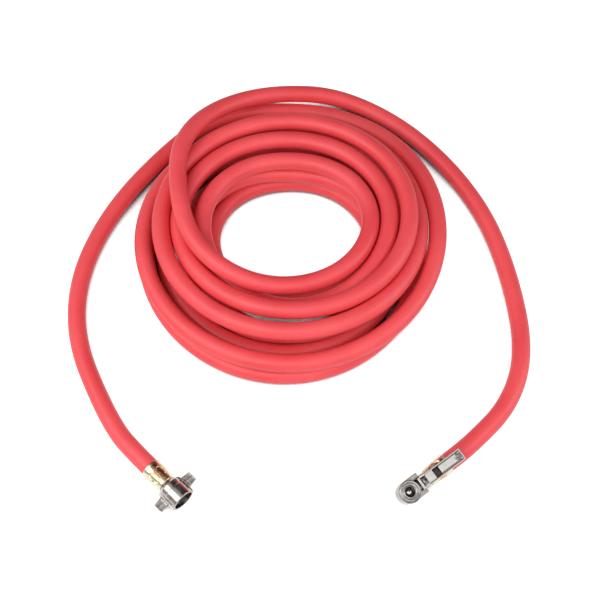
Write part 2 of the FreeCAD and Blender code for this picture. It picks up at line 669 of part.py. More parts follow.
def clip_lever():
    """Tray lever: two sides with eyes on the pin, front bar, bridge, window and tray."""
    low = LEVER_UNDER
    top = low + LEVER_PLATE
    rim = top + LEVER_RIM
    inner = LEVER_HALF_WIDTH - LEVER_SIDE
    bar_low = low - LEVER_PLATE
    outline = [
        (PIN_X - EYE_R, PIN_Z), (PIN_X + EYE_R, PIN_Z), (PIN_X + EYE_R, HEAD_TOP),
        (LEVER_BRIDGE_START - LEVER_SIDE, low), (LEVER_END, low), (LEVER_END, rim),
        (LEVER_BRIDGE_START, rim),
        (LEVER_BAR_END, top), (LEVER_BAR_START, top), (LEVER_BAR_START, bar_low), (PIN_X, HEAD_TOP),
    ]
    lever = box(LEVER_BAR_START, LEVER_BAR_END, -inner, inner, bar_low, top)
    pieces = [
        box(LEVER_BRIDGE_START, LEVER_BRIDGE_END, -inner, inner, low, top),
        box(LEVER_TRAY_START, LEVER_END, -inner, inner, low, top),
        box(LEVER_END - LEVER_SIDE, LEVER_END, -inner, inner, low, rim),
    ]
    for y in (-LEVER_HALF_WIDTH, inner):
        pieces.append(side_plate(outline, y, y + LEVER_SIDE))
        pieces.append(on_pin(EYE_R, y, y + LEVER_SIDE))
    lever = lever.fuse(pieces)
    lever = lever.cut(on_pin(PIN_R + PIN_CLEARANCE, -LEVER_HALF_WIDTH, LEVER_HALF_WIDTH))
    lever = lever.cut(post(RIVET_R + FIT_GAP, low, top, (RIVET_X, 0)))
    return at_rest(lever.removeSplitter())


def lever_rivet():
    """Round-headed rivet through the tray."""
    low, top = LEVER_UNDER, LEVER_UNDER + LEVER_PLATE
    shank = post(RIVET_R, low, top, (RIVET_X, 0))
    ball_r = (RIVET_HEAD_R ** 2 + RIVET_HEAD ** 2) / (2 * RIVET_HEAD)
    ball = Part.makeSphere(ball_r, Vec(RIVET_X, 0, top + RIVET_HEAD - ball_r))
    head = ball.common(post(RIVET_HEAD_R, top, top + 2 * RIVET_HEAD, (RIVET_X, 0)))
    return at_rest(shank.fuse(head))


def clip_claw():
    """Hardened claw: an eye on the pin, an upright under the lever's bar and a blade into the head."""
    rear = PIN_X + CLAW_STEM
    step = PIN_X - EYE_R
    outline = [
        (step, PIN_Z), (PIN_X + EYE_R, PIN_Z), (rear, CLAW_TOP), (rear - CLAW_STEM, CLAW_TOP),
        (rear - CLAW_STEM, BLADE_TOP), (step, BLADE_TOP),
    ]
    body = side_plate(outline, -CLAW_HALF_WIDTH, CLAW_HALF_WIDTH)
    eye = on_pin(EYE_R, -CLAW_HALF_WIDTH, CLAW_HALF_WIDTH)
    root = step + CLAW_EDGE
    blade_outline = [
        (BLADE_TIP, BLADE_BOTTOM + CLAW_EDGE), (BLADE_TIP + CLAW_EDGE, BLADE_BOTTOM),
        (root, BLADE_BOTTOM), (root, BLADE_TOP), (BLADE_TIP + 2 * CLAW_EDGE, BLADE_TOP),
    ]
    claw = body.fuse([eye, side_plate(blade_outline, -BLADE_HALF_WIDTH, BLADE_HALF_WIDTH)])
    return claw.cut(on_pin(PIN_R + PIN_CLEARANCE, -CLAW_HALF_WIDTH, CLAW_HALF_WIDTH)).removeSplitter()


def lever_pin():
    """Pivot pin, pressed into the two ears."""
    half = NECK_HALF_WIDTH - PIN_SHORT
    return on_pin(PIN_R, -half, half)


def lever_spring():
    """Torsion spring on the pin: short leg on the slot's floor, long leg under the lever's bridge."""
    wire_r = LEVER_SPRING_WIRE / 2
    reach = LEVER_BRIDGE_START + LEVER_SPRING_UNDER_BRIDGE - PIN_X
    rise = LEVER_UNDER - LEVER_SPRING_WIRE - PIN_Z
    distance = math.hypot(reach, rise)
    leaving = math.degrees(math.atan2(rise, reach) + math.acos(LEVER_SPRING_R / distance)) + LEVER_REST
    turn = 270 - leaving + 360 * LEVER_SPRING_FULL_TURNS
    long_leg = math.sqrt(distance ** 2 - LEVER_SPRING_R ** 2)
    centre = Vec(PIN_X, CLAW_HALF_WIDTH + LEVER_SPRING_SIDE_GAP + wire_r, PIN_Z)
    across = LEVER_SPRING_PITCH * turn / 360
    down = Vec(0, 0, -1)
    forward = Vec(-1, 0, 0)
    nodes = helix_nodes(centre, LEVER_SPRING_R, down, forward, Vec(0, 1, 0), turn, across)
    return round_sweep(wound_path(nodes, LEVER_SPRING_SHORT_LEG, long_leg), wire_r)


# Checks that the source prints

def sampled(path, start, sense):
    """Points along a wire, each with its distance along the hose, from start and counted in one sense."""
    points = []
    run = 0.0
    for edge in path.Edges:
        count = max(1, round(edge.Length / GAP_STEP))
        for i in range(count):
            along = edge.Length * i / count
            points.append((edge.valueAt(edge.getParameterByLength(along)), start + sense * (run + along)))
        run += edge.Length
    return points


def least_gap(first, second):
    """Least gap between two stretches' skins, leaving out what lies near along the hose."""
    least = math.inf
    for p, run_p in first:
        for q, run_q in second:
            if abs(run_p - run_q) > GAP_SKIP:
                least = min(least, (p.x - q.x) ** 2 + (p.y - q.y) ** 2 + (p.z - q.z) ** 2)
    return math.sqrt(least) - HOSE_OD


def main():
    os.makedirs("parts", exist_ok=True)
    coil, coil_path = hose_coil()
    nut_points = tail_points(NUT_TAIL_POINTS, NUT_FRAME, coil_path, 0, 0)
    chuck_points = tail_points(CHUCK_TAIL_POINTS, CHUCK_CRIMP_FRAME, coil_path, -1, 1)
    nut_tail, nut_path, nut_radii = hose_tail(nut_points, NUT_FRAME)
    chuck_tail, chuck_path, chuck_radii = hose_tail(chuck_points, CHUCK_CRIMP_FRAME)
    nodes = {
        "hose_coil": coil,
        "hose_nut_tail": nut_tail,
        "hose_chuck_tail": chuck_tail,
        "nut_ferrule": placed(ferrule(), NUT_FRAME),
        "nut_stem": placed(nut_stem(), NUT_FRAME),
        "nut_seal_ring": placed(nut_seal_ring(), NUT_FRAME),
        "wing_nut": placed(wing_nut(), NUT_FRAME),
        "chuck_ferrule": placed(ferrule(), CHUCK_CRIMP_FRAME),
        "chuck_body": placed(chuck_body(), CHUCK_FRAME),
        "seal_cap": placed(seal_cap(), CHUCK_FRAME),
        "valve_washer": placed(valve_washer(), CHUCK_FRAME),
        "valve_poppet": placed(valve_poppet(), CHUCK_FRAME),
        "poppet_seal": placed(poppet_seal(), CHUCK_FRAME),
        "poppet_spring": placed(poppet_spring(), CHUCK_FRAME),
        "poppet_carrier": placed(poppet_carrier(), CHUCK_FRAME),
        "clip_claw": placed(clip_claw(), CHUCK_FRAME),
        "clip_lever": placed(clip_lever(), CHUCK_FRAME),
        "lever_rivet": placed(lever_rivet(), CHUCK_FRAME),
        "lever_pin": placed(lever_pin(), CHUCK_FRAME),
        "lever_spring": placed(lever_spring(), CHUCK_FRAME),
    }
    for name, shape in nodes.items():
        shape.exportStep("parts/" + name + ".step")
        print(name, len(shape.Solids), "valid", shape.isValid(), "volume", round(shape.Volume, 1))
    section = math.pi * (HOSE_R ** 2 - BORE_R ** 2)
    for name, path in (("coil", coil_path), ("nut tail", nut_path), ("chuck tail", chuck_path)):
        print(name, "length", round(path.Length, 1), "section times length", round(section * path.Length, 1))
    coil_line = sampled(coil_path, 0, 1)
    nut_line = sampled(nut_path, -nut_path.Length, 1)
    chuck_line = sampled(chuck_path, coil_path.Length + chuck_path.Length, -1)
    for name, first, second in (
        ("coil and coil", coil_line, coil_line),
        ("nut tail and coil", nut_line, coil_line),
        ("chuck tail and coil", chuck_line, coil_line),
        ("nut tail and chuck tail", nut_line, chuck_line),
    ):
        print("least gap", name, round(least_gap(first, second), 2))
    print("nut tail radii", [round(r) for r in nut_radii])
    print("chuck tail radii", [round(r) for r in chuck_radii])
    whole = Part.makeCompound(list(nodes.values())).BoundBox
    print("box", whole)
    print("box middle", round((whole.XMin + whole.XMax) / 2, 3), round((whole.YMin + whole.YMax) / 2, 3))


main()
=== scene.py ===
# Truck tyre inflation hose. One red rubber hose lies in loose loops, with a die-cast wing nut crimped on
# one end and a clip-on tyre chuck on the other. The sections follow the order in which it is put together.
import math

import bmesh
import bpy
from mathutils import Matrix, Vector


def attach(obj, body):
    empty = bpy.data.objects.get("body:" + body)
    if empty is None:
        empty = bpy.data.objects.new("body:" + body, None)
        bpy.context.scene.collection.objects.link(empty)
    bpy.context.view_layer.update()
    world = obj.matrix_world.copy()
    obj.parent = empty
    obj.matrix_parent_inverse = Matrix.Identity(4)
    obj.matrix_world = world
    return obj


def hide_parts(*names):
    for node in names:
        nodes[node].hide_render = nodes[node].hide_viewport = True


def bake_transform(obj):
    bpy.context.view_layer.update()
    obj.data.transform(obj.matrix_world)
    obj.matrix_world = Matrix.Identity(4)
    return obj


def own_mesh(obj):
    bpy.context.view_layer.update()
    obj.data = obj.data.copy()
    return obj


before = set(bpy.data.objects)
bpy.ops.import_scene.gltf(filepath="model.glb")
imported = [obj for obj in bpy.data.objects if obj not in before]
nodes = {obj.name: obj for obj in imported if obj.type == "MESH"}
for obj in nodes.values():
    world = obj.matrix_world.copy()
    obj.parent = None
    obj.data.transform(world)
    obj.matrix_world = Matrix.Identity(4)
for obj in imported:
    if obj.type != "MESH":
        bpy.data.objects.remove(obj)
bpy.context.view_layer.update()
scene = bpy.context.scene
MM = 0.001


# Camera. A short telephoto lens looks along +Y and down at the pile, 1.1 m from its middle.
CAMERA_TARGET = Vector((2.95, -20.63, 9.5)) * MM
CAMERA_DISTANCE = 1.0982
CAMERA_ELEVATION = math.radians(63)
CAMERA_LENS = 62.4
CAMERA_SENSOR = 36

lens = bpy.data.cameras.new("camera")
lens.lens = CAMERA_LENS
lens.sensor_width = CAMERA_SENSOR
camera = bpy.data.objects.new("camera", lens)
scene.collection.objects.link(camera)
camera.location = CAMERA_TARGET + CAMERA_DISTANCE * Vector(
    (0, -math.cos(CAMERA_ELEVATION), math.sin(CAMERA_ELEVATION))
)
camera.rotation_euler = (math.pi / 2 - CAMERA_ELEVATION, 0, 0)
scene.camera = camera


# Hose. An extruded red rubber tube over a textile ply, 19 mm outside, made in one length: ten loose loops
# in four layers between a free stretch to the wing nut and one that climbs over the loops to the chuck.
HOSE_RADIUS = 9.5
LAYER_PITCH = 19.5
COIL_LOW = 9.0
TAIL_LOW = 9.6
PLAN_SHIFT = Vector((2.95, -20.63, 0))
COIL_MIDDLE = Vector((-7.55, 59.17, 0))
COIL_STEPS = 6
# Radius and layer of each loop at its four quarter turns
COIL_LOOPS = [
    [(165.5, 0.03), (158.3, 1), (161, 1), (156.5, 1)],
    [(121.5, 1), (116, 1), (128.6, 1), (103, 1)],
    [(66.5, 1), (89.5, 1), (84.5, 0.4), (85.5, 0)],
    [(68, 0), (90, 0), (121.5, 0), (112, 0)],
    [(96, 0), (118, 0), (141, 0), (136.5, 0)],
    [(117, 0), (138, 0), (165.5, 0), (156.5, 0)],
    [(146.5, 0.34), (138.3, 1.17), (135.4, 2.1), (136.5, 2)],
    [(123, 2), (126.2, 2.25), (113, 2.25), (117, 2)],
    [(98, 2), (105.4, 2.05), (99, 1.12), (92, 2)],
    [(70, 2), (85.1, 2.05), (84, 2.15), (113, 3.05)],
]
# Points of the two free stretches, with their height over a hose that lies on the floor
NUT_TAIL = [
    (-182, -147, 0.6), (-206, -104, 0), (-227, -58, 0), (-236, -12, 0), (-233, 37, 0), (-217, 87, 0),
    (-192.5, 133.5, 0), (-160.5, 176.5, 0), (-129, 212, 0), (-94, 235, 0), (-57, 245.3, 0),
]
CHUCK_TAIL = [
    (-131, 127, 58.9), (-127.5, 161, 57.2), (-114.5, 192.5, 49.9), (-89, 224, 36.9), (-53, 247, 25.9),
    (-11, 258, 18.4), (33, 262.5, 8.9), (77, 251, 0), (117, 223, 0), (152, 187.5, 0), (181.5, 146, 0),
    (205, 99, 0), (219, 49, 0), (227, 0, 0), (230, -44, 0), (224, -86, 0), (204.5, -124, 0),
    (177, -151.5, 0.6),
]
NUT_MOUTH = Vector((-142.65, -205.23, 12.6))
NUT_AXIS = Vector((math.cos(math.radians(-44)), math.sin(math.radians(-44)), 0))
CHUCK_MOUTH = Vector((145.45, -200.93, 12.6))
CHUCK_AXIS = Vector((math.cos(math.radians(37.3)), math.sin(math.radians(37.3)), 0))
HOSE_INSIDE = 12.0
HOSE_STRAIGHT = 21.0

rows = [row for loop in COIL_LOOPS for row in loop]
radii = [row[0] for row in rows]
heights = [COIL_LOW + LAYER_PITCH * row[1] for row in rows]
# The curve only touches the middle of each side of its control polygon, so the points stand further out
widen = 1 / math.cos(math.pi / 4 / COIL_STEPS)


def slopes(values, monotone, last):
    """Slope of a coil measure at each quarter turn."""
    made = [0.0]
    for before, here, after in zip(values, values[1:], values[2:]):
        rise, onward = here - before, after - here
        made.append(0.0 if monotone and rise * onward <= 0 else (rise + onward) / 2)
    return made + [last]


def eased(values, slope, k, share):
    """Coil measure between quarter turn k and the next."""
    s2, s3 = share ** 2, share ** 3
    return (
        values[k] * (2 * s3 - 3 * s2 + 1) + slope[k] * (s3 - 2 * s2 + share)
        + values[k + 1] * (3 * s2 - 2 * s3) + slope[k + 1] * (s3 - s2)
    )


radius_slopes = slopes(radii, False, radii[-1] - radii[-2])
height_slopes = slopes(heights, True, 0.0)
coil = []
for step in range((len(rows) - 1) * COIL_STEPS + 1):
    k = min(step // COIL_STEPS, len(rows) - 2)
    share = step / COIL_STEPS - k
    radius = eased(radii, radius_slopes, k, share) * widen
    angle = math.pi / 2 * (1 - step / COIL_STEPS)
    height = eased(heights, height_slopes, k, share)
    coil.append(COIL_MIDDLE + Vector((radius * math.cos(angle), radius * math.sin(angle), height)))
nut_tail = [Vector((x, y, TAIL_LOW + lift)) + PLAN_SHIFT for x, y, lift in NUT_TAIL]
chuck_tail = [Vector((x, y, TAIL_LOW + lift)) + PLAN_SHIFT for x, y, lift in CHUCK_TAIL]
line = [NUT_MOUTH + NUT_AXIS * HOSE_INSIDE, NUT_MOUTH, NUT_MOUTH - NUT_AXIS * HOSE_STRAIGHT]
line += nut_tail + coil + chuck_tail
line += [CHUCK_MOUTH + CHUCK_AXIS * HOSE_STRAIGHT, CHUCK_MOUTH, CHUCK_MOUTH - CHUCK_AXIS * HOSE_INSIDE]

curve = bpy.data.curves.new("hose", "CURVE")
curve.dimensions = "3D"
curve.bevel_depth = HOSE_RADIUS * MM
curve.bevel_resolution = 6
curve.resolution_u = 8
curve.use_fill_caps = True
spline = curve.splines.new("NURBS")
spline.points.add(len(line) - 1)
for point, place in zip(spline.points, line):
    point.co = (*(place * MM), 1)
spline.order_u = 3
spline.use_endpoint_u = True
hose = bpy.data.objects.new("hose", curve)
scene.collection.objects.link(hose)


def linear(colour):
    """Linear colour of an sRGB hex value."""
    parts = [int(colour[i:i + 2], 16) / 255 for i in (1, 3, 5)]
    return [p / 12.92 if p <= 0.04045 else ((p + 0.055) / 1.055) ** 2.4 for p in parts] + [1.0]


def add_node(tree, kind, values=None, links=None, **settings):
    """Adds a node with its settings, its socket values and its links."""
    made = tree.nodes.new(kind)
    for name, value in settings.items():
        setattr(made, name, value)
    for socket, value in (values or {}).items():
        made.inputs[socket].default_value = value
    for socket, source in (links or {}).items():
        tree.links.new(source, made.inputs[socket])
    return made


def new_material(name):
    """Empty node material with its output."""
    made = bpy.data.materials.new(name)
    made.use_nodes = True
    made.node_tree.nodes.clear()
    return made, made.node_tree


def finish_material(tree, shader):
    """Links a shader to the material's output."""
    add_node(tree, "ShaderNodeOutputMaterial", links={"Surface": shader.outputs["BSDF"]})


# Extruded EPDM rubber, red. It has a soft satin gloss from the die, fine pitting and a pale bloom in patches
# about 60 mm across. The pits are drawn 0.7 mm apart, coarser than the real ones, so that they show.
rubber, tree = new_material("extruded_red_epdm")
place = add_node(tree, "ShaderNodeTexCoord").outputs["Object"]
patches = add_node(tree, "ShaderNodeTexNoise", {"Scale": 0.016 / MM, "Detail": 4.0}, {"Vector": place})
grain = add_node(tree, "ShaderNodeTexNoise", {"Scale": 1.4 / MM, "Detail": 2.0}, {"Vector": place})
tint = add_node(tree, "ShaderNodeValToRGB", links={"Fac": patches.outputs["Fac"]})
tint.color_ramp.elements[0].position = 0.32
tint.color_ramp.elements[0].color = linear("#e6454b")
tint.color_ramp.elements[1].position = 0.7
tint.color_ramp.elements[1].color = linear("#f05358")
dull = add_node(
    tree, "ShaderNodeMapRange",
    {"From Min": 0.3, "From Max": 0.7, "To Min": 0.4, "To Max": 0.5}, {"Value": patches.outputs["Fac"]},
)
pits = add_node(
    tree, "ShaderNodeBump", {"Strength": 0.12, "Distance": 0.0001}, {"Height": grain.outputs["Fac"]},
)
skin = add_node(tree, "ShaderNodeBsdfPrincipled", {"IOR": 1.5}, {
    "Base Color": tint.outputs["Color"], "Roughness": dull.outputs["Result"],
    "Normal": pits.outputs["Normal"],
})
finish_material(tree, skin)
curve.materials.append(rubber)

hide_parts("hose_coil", "hose_nut_tail", "hose_chuck_tail")
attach(hose, "hose_line")


# Ferrules. Drawn steel sleeves with a rolled mouth, zinc plated and yellow passivated. Each is pushed over
# an end of the hose and crimped on the barb inside it by six jaws, which leave an oval dent each.
FERRULE_PROFILE = [
    (0.35, 9.55), (0, 9.9), (0.1, 10.3), (0.5, 10.55), (1.1, 10.6), (1.7, 10.45), (2.3, 10.25), (13, 10.25),
    (22.9, 8.7), (23.4, 8.35), (23.5, 7.9), (23.5, 6.25), (22.5, 6.25), (22.5, 7.8), (13, 9.55),
]
HEAD_REACH = 48.4
CHUCK_ROLL = math.radians(14)
LEVER_PIVOT = Vector((13.0, 0, -0.4))
LEVER_SLANT = math.radians(-10)
CRIMPS = {"Count": 6, "Turn": math.radians(36), "Middle": 13.2, "Length": 13.4, "Width": 7.4, "Depth": 0.85}
PRESS_REST = 0.12
PRESS_CURVE = [
    (0.0, 0.84), (0.3, 0.88), (0.41, 1.0), (0.49, 0.08), (0.55, 0.0), (0.63, PRESS_REST), (1.0, PRESS_REST),
]
# Middle, in the lever's millimetres, and reach of the painted shade on the chuck's ferrule under the lever's
# window
LEVER_SHADE_SPOT = Vector((34.2, -0.5, 8.0))
LEVER_SHADE_REACH = 12.0


def fitting_frame(mouth, along, roll):
    """Matrix from a fitting's own millimetres, X along it and Z to its face, to the scene."""
    across = Vector((0, 0, 1)).cross(along)
    face = Vector((0, 0, 1)) * math.cos(roll) - across * math.sin(roll)
    turn = Matrix((along, face.cross(along), face)).transposed().to_4x4()
    return Matrix.Translation(mouth * MM) @ turn @ Matrix.Scale(MM, 4)


nut_frame = fitting_frame(NUT_MOUTH, NUT_AXIS, 0)
chuck_frame = fitting_frame(CHUCK_MOUTH - CHUCK_AXIS * HEAD_REACH, CHUCK_AXIS, CHUCK_ROLL)
lever_frame = (
    chuck_frame @ Matrix.Translation(LEVER_PIVOT) @ Matrix.Rotation(LEVER_SLANT, 4, "Y")
    @ Matrix.Translation(-LEVER_PIVOT)
)
crimp_frame = chuck_frame @ Matrix.Translation((HEAD_REACH, 0, 0)) @ Matrix.Rotation(math.pi, 4, "Z")


def turned(name, profile, run=100.0, around=96):
    """Piece of revolution about X from a closed ring of (x, radius) points, with long runs divided."""
    rings = []
    for (x0, r0), (x1, r1) in zip(profile, profile[1:] + profile[:1]):
        count = max(1, math.ceil(math.hypot(x1 - x0, r1 - r0) / run))
        rings += [(x0 + (x1 - x0) * i / count, r0 + (r1 - r0) * i / count) for i in range(count)]
    made = bmesh.new()
    turns = [2 * math.pi * i / around for i in range(around)]
    grid = [[made.verts.new((x, r * math.cos(a), r * math.sin(a))) for a in turns] for x, r in rings]
    for i in range(len(rings)):
        near, far = grid[i - 1], grid[i]
        for j in range(around):
            made.faces.new((near[j - 1], near[j], far[j], far[j - 1]))
    bmesh.ops.remove_doubles(made, verts=made.verts, dist=1e-5)
    loose = [edge for edge in made.edges if not edge.link_faces]
    bmesh.ops.delete(made, geom=loose, context="EDGES")
    bmesh.ops.recalc_face_normals(made, faces=made.faces)
    mesh = bpy.data.meshes.new(name)
    made.to_mesh(mesh)
    made.free()
    piece = bpy.data.objects.new(name, mesh)
    scene.collection.objects.link(piece)
    return piece


def apply_modifiers(piece):
    """Turns a piece's modifiers into plain mesh."""
    view = bpy.context.evaluated_depsgraph_get()
    mesh = bpy.data.meshes.new_from_object(piece.evaluated_get(view))
    piece.modifiers.clear()
    piece.data = mesh


def set_in_place(piece, frame_matrix, material, sharp=35):
    """Puts a finished piece's mesh where its fitting lies, and gives it its shading and material."""
    piece.data.transform(frame_matrix)
    piece.data.polygons.foreach_set("use_smooth", [True] * len(piece.data.polygons))
    piece.data.set_sharp_from_angle(angle=math.radians(sharp))
    piece.data.materials.clear()
    piece.data.materials.append(material)


def add_inputs(piece, name, tree, values):
    """Adds a Geometry Nodes modifier and sets its named inputs."""
    modifier = piece.modifiers.new(name, "NODES")
    modifier.node_group = tree
    for item in tree.interface.items_tree:
        if item.in_out == "INPUT" and item.name in values:
            modifier[item.identifier] = values[item.name]


def worked(tree, operation, *terms):
    """Math node on sockets or numbers."""
    values = {i: term for i, term in enumerate(terms) if isinstance(term, (int, float))}
    links = {i: term for i, term in enumerate(terms) if not isinstance(term, (int, float))}
    return add_node(tree, "ShaderNodeMath", values, links, operation=operation).outputs[0]


def hypotenuse(tree, a, b):
    """Math nodes for the distance that two sides at right angles span."""
    squares = [worked(tree, "MULTIPLY", side, side) for side in (a, b)]
    return worked(tree, "SQRT", worked(tree, "ADD", *squares))


# Crimping press: each point of a sleeve moves inwards by a curve of its distance from the nearest oval's
# middle, measured in half lengths along the sleeve and half widths round it. The curve covers two of them:
# a floor that is deepest near its edge, a steep wall, and a low swell that the jaw pushes up round it.
crimping = bpy.data.node_groups.new("crimping_press", "GeometryNodeTree")
crimping.interface.new_socket("Sleeve", in_out="INPUT", socket_type="NodeSocketGeometry")
for label in CRIMPS:
    crimping.interface.new_socket(label, in_out="INPUT", socket_type="NodeSocketFloat")
crimping.interface.new_socket("Finish", in_out="INPUT", socket_type="NodeSocketMaterial")
crimping.interface.new_socket("Sleeve", in_out="OUTPUT", socket_type="NodeSocketGeometry")
given = add_node(crimping, "NodeGroupInput").outputs
point = add_node(crimping, "GeometryNodeInputPosition").outputs[0]
x, y, z = add_node(crimping, "ShaderNodeSeparateXYZ", links={0: point}).outputs
reach = hypotenuse(crimping, y, z)
facing = worked(crimping, "ARCTAN2", worked(crimping, "MULTIPLY", y, -1.0), z)
bearing = worked(crimping, "SUBTRACT", facing, given["Turn"])
spacing = worked(crimping, "DIVIDE", 2 * math.pi, given["Count"])
nearest = worked(crimping, "ROUND", worked(crimping, "DIVIDE", bearing, spacing))
off = worked(crimping, "SUBTRACT", bearing, worked(crimping, "MULTIPLY", nearest, spacing))
round_share = worked(crimping, "DIVIDE", worked(crimping, "MULTIPLY", off, reach),
                     worked(crimping, "MULTIPLY", given["Width"], 0.5))
long_share = worked(crimping, "DIVIDE", worked(crimping, "SUBTRACT", x, given["Middle"]),
                    worked(crimping, "MULTIPLY", given["Length"], 0.5))
distance = hypotenuse(crimping, round_share, long_share)
pressed = add_node(crimping, "ShaderNodeFloatCurve", links={1: worked(crimping, "MULTIPLY", distance, 0.5)})
shape = pressed.mapping.curves[0]
shape.points[0].location, shape.points[1].location = PRESS_CURVE[0], PRESS_CURVE[-1]
for spot in PRESS_CURVE[1:-1]:
    shape.points.new(*spot)
pressed.mapping.update()
lift = worked(crimping, "SUBTRACT", PRESS_REST, pressed.outputs[0])
sink = worked(crimping, "MULTIPLY", lift, given["Depth"])
scale = worked(crimping, "DIVIDE", sink, reach)
push = add_node(crimping, "ShaderNodeCombineXYZ", links={
    "Y": worked(crimping, "MULTIPLY", y, scale), "Z": worked(crimping, "MULTIPLY", z, scale),
}).outputs[0]
moved = add_node(crimping, "GeometryNodeSetPosition", links={"Geometry": given["Sleeve"], "Offset": push})
real = add_node(crimping, "GeometryNodeRealizeInstances", links={0: moved.outputs[0]})
coated = add_node(crimping, "GeometryNodeSetMaterial", links={
    "Geometry": real.outputs[0], "Material": given["Finish"],
})
add_node(crimping, "NodeGroupOutput", links={0: coated.outputs[0]})

# Yellow chromate over bright zinc: pale gold with green, straw and copper tints that drift over 15 mm or so,
# and a soft mirror. Its scratches are drawn 1 mm apart, so that they show. Painted shade darkens it under
# the lever's window.
gold, tree = new_material("yellow_passivated_zinc")
place = add_node(tree, "ShaderNodeTexCoord").outputs["Object"]
drift = add_node(
    tree, "ShaderNodeTexNoise", {"Scale": 0.06 / MM, "Detail": 1.5, "Distortion": 0.5}, {"Vector": place},
)
tint = add_node(tree, "ShaderNodeValToRGB", links={"Fac": drift.outputs["Fac"]})
tint.color_ramp.elements[0].position = 0.3
tint.color_ramp.elements[0].color = linear("#d3a682")
tint.color_ramp.elements[1].position = 0.72
tint.color_ramp.elements[1].color = linear("#d6dab8")
tint.color_ramp.elements.new(0.42).color = linear("#e3cba2")
tint.color_ramp.elements.new(0.55).color = linear("#eee8cc")
scratch = add_node(tree, "ShaderNodeTexNoise", {"Scale": 0.9 / MM, "Detail": 3.0}, {"Vector": place})
dull = add_node(
    tree, "ShaderNodeMapRange",
    {"From Min": 0.3, "From Max": 0.7, "To Min": 0.17, "To Max": 0.3}, {"Value": scratch.outputs["Fac"]},
)
# Painted shade: a dark spot on the ferrule under the lever's window, standing in for the shade that the lever
# casts there.
spot = add_node(
    tree, "ShaderNodeMapping", {"Location": lever_frame @ LEVER_SHADE_SPOT, "Scale": (LEVER_SHADE_REACH * MM,) * 3},
    {"Vector": place}, vector_type="TEXTURE",
)
near_window = add_node(
    tree, "ShaderNodeTexGradient", links={"Vector": spot.outputs[0]}, gradient_type="SPHERICAL",
)
lever_shade = add_node(
    tree, "ShaderNodeMapRange", {"From Min": 0.3, "From Max": 0.45}, {"Value": near_window.outputs["Fac"]},
)
painted_shade = add_node(tree, "ShaderNodeMixRGB", {"Color2": linear("#4d4348")}, {
    "Fac": lever_shade.outputs["Result"], "Color1": tint.outputs["Color"],
})
rub = add_node(
    tree, "ShaderNodeBump", {"Strength": 0.1, "Distance": 0.0001}, {"Height": scratch.outputs["Fac"]},
)
shader = add_node(tree, "ShaderNodeBsdfPrincipled", {"Metallic": 1.0}, {
    "Base Color": painted_shade.outputs["Color"], "Roughness": dull.outputs["Result"],
    "Normal": rub.outputs["Normal"],
})
finish_material(tree, shader)

for end, end_frame in (("nut", nut_frame), ("chuck", crimp_frame)):
    ferrule = turned(end + "_crimped_ferrule", FERRULE_PROFILE, run=0.3, around=160)
    add_inputs(ferrule, "crimping", crimping, CRIMPS | {"Finish": gold})
    apply_modifiers(ferrule)
    set_in_place(ferrule, end_frame, gold)
    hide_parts(end + "_ferrule")
    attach(ferrule, "hose_line")


# Hose stem of the nut end. Turned from free-cutting steel and nickel plated: a barb inside the hose, a neck
# that the wing nut turns on, a head that holds it, and a nose that shows in the nut's mouth.
def cad_copy(name, node, frame_matrix, dissolve=1.0):
    """Merged copy of a CAD node, in its fitting's own millimetres, with its flat faces whole again."""
    mesh = nodes[node].data.copy()
    mesh.name = name
    mesh.transform(frame_matrix.inverted())
    made = bmesh.new()
    made.from_mesh(mesh)
    bmesh.ops.remove_doubles(made, verts=made.verts, dist=0.002)
    if dissolve:
        bmesh.ops.dissolve_limit(
            made, angle_limit=math.radians(dissolve), verts=made.verts[:], edges=made.edges[:],
        )
    made.to_mesh(mesh)
    made.free()
    piece = bpy.data.objects.new(name, mesh)
    scene.collection.objects.link(piece)
    return piece


def broken_edges(piece, width, angle=30):
    """Takes the sharp edges off a piece, as a file or a tumbling barrel does."""
    bevel = piece.modifiers.new("broken_edges", "BEVEL")
    bevel.width = width
    bevel.segments = 2
    bevel.limit_method = "ANGLE"
    bevel.angle_limit = math.radians(angle)
    apply_modifiers(piece)


# At a scale of 1 the wave texture repeats every 0.314 units
WAVE_PERIOD = 0.314


def centred_on(tree, place, fitting):
    """Coordinates in metres, centred on a fitting and turned as it lies."""
    location, turn, _ = fitting.decompose()
    return add_node(
        tree, "ShaderNodeMapping", {"Location": location, "Rotation": turn.to_euler()}, {"Vector": place},
        vector_type="TEXTURE",
    ).outputs[0]


